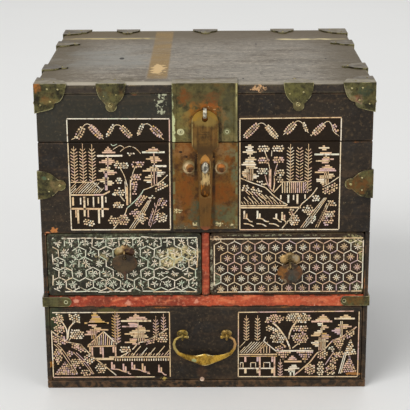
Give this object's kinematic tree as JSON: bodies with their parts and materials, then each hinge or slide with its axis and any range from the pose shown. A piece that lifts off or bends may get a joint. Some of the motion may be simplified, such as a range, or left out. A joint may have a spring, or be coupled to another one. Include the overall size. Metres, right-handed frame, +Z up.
{
  "type": "lacquer box",
  "caption": "Square lacquered cosmetic box: hinged lid with hasp over an open compartment, drawers with hanging pulls below, brass corner and edge mounts.",
  "frame": {"origin": "middle of the flat underside, on the surface that the box stands on", "axes": "+Z up, the front with the hasp and the drawers faces -Y, +X to the right seen from the front"},
  "size_m": [0.2626, 0.2588, 0.2543],
  "materials": {
    "black_lacquer": "brown-black lacquer over wood, worn pale along the edges",
    "weathered_lacquer": "lacquer worn down to grey-brown weathered grain",
    "red_lacquer": "chipped red lacquer over wood",
    "bare_wood": "bare aged pine",
    "olive_brass": "dull olive-brown brass with green edges",
    "rusty_brass": "brown brass with orange and grey-green patches",
    "yellow_brass": "rubbed yellow cast brass",
    "white_metal": "rubbed grey white metal",
    "shell_inlay": "polished mother-of-pearl inlay, cream to pink and green"
  },
  "bodies": {
    "carcass": {"base_board": "black_lacquer", "back_board": "black_lacquer", "side_board_left": "black_lacquer", "side_board_right": "black_lacquer", "front_board": "black_lacquer", "compartment_floor": "bare_wood", "drawer_shelf": "red_lacquer", "drawer_divider": "red_lacquer", "lock_plate": "rusty_brass", "catch_stud": "white_metal", "body_mount_left": "olive_brass", "body_mount_right": "olive_brass", "rail_mount_left": "olive_brass", "rail_mount_right": "olive_brass", "hinge_lower_left": "olive_brass", "hinge_lower_right": "olive_brass"},
    "lid": {"lid_top_board": "weathered_lacquer", "lid_front_board": "black_lacquer", "lid_back_board": "black_lacquer", "lid_side_left": "black_lacquer", "lid_side_right": "black_lacquer", "lid_plate": "rusty_brass", "hasp_eye": "white_metal", "corner_mount_front_left": "olive_brass", "corner_mount_front_right": "olive_brass", "corner_mount_back_right": "olive_brass", "corner_mount_back_left": "olive_brass", "edge_mount_front_left": "olive_brass", "edge_mount_front_right": "olive_brass", "edge_mount_back": "olive_brass", "side_mount_left_front": "olive_brass", "side_mount_left_back": "olive_brass", "side_mount_right_front": "olive_brass", "side_mount_right_back": "olive_brass", "hinge_upper_left": "olive_brass", "hinge_upper_right": "olive_brass"},
    "hasp": {"hasp": "rusty_brass"},
    "drawer_left": {"drawer_left_front": "black_lacquer", "drawer_left_side_left": "bare_wood", "drawer_left_side_right": "bare_wood", "drawer_left_back": "bare_wood", "drawer_left_bottom": "bare_wood", "pull_boss_left": "yellow_brass"},
    "drawer_right": {"drawer_right_front": "black_lacquer", "drawer_right_side_left": "bare_wood", "drawer_right_side_right": "bare_wood", "drawer_right_back": "bare_wood", "drawer_right_bottom": "bare_wood", "pull_boss_right": "yellow_brass"},
    "drawer_wide": {"drawer_wide_front": "black_lacquer", "drawer_wide_side_left": "bare_wood", "drawer_wide_side_right": "bare_wood", "drawer_wide_back": "bare_wood", "drawer_wide_bottom": "bare_wood", "bail_post_left": "yellow_brass", "bail_post_right": "yellow_brass"},
    "leaf_left": {"pull_leaf_left": "rusty_brass"},
    "leaf_right": {"pull_leaf_right": "rusty_brass"},
    "bail": {"bail": "yellow_brass"}
  },
  "joints": [
    {"name": "lid_hinge", "type": "hinge", "parent": "carcass", "child": "lid", "pos_m": [0, 0.1256, 0.2077], "axis": [-1, 0, 0], "range_deg": [0, 105]},
    {"name": "hasp_hinge", "type": "hinge", "parent": "lid", "child": "hasp", "pos_m": [0, -0.1261, 0.2315], "axis": [-1, 0, 0], "range_deg": [0, 170]},
    {"name": "drawer_left_slide", "type": "slide", "parent": "carcass", "child": "drawer_left", "axis": [0, -1, 0], "range_m": [0, 0.19]},
    {"name": "drawer_right_slide", "type": "slide", "parent": "carcass", "child": "drawer_right", "axis": [0, -1, 0], "range_m": [0, 0.19]},
    {"name": "drawer_wide_slide", "type": "slide", "parent": "carcass", "child": "drawer_wide", "axis": [0, -1, 0], "range_m": [0, 0.19]},
    {"name": "leaf_left_swing", "type": "hinge", "parent": "drawer_left", "child": "leaf_left", "pos_m": [-0.0644, -0.1254, 0.1165], "axis": [-1, 0, 0], "range_deg": [0, 95]},
    {"name": "leaf_right_swing", "type": "hinge", "parent": "drawer_right", "child": "leaf_right", "pos_m": [0.0671, -0.1254, 0.108], "axis": [-1, 0, 0], "range_deg": [0, 95]},
    {"name": "bail_swing", "type": "hinge", "parent": "drawer_wide", "child": "bail", "pos_m": [-0.0013, -0.1266, 0.0466], "axis": [-1, 0, 0], "range_deg": [0, 110]}
  ]
}
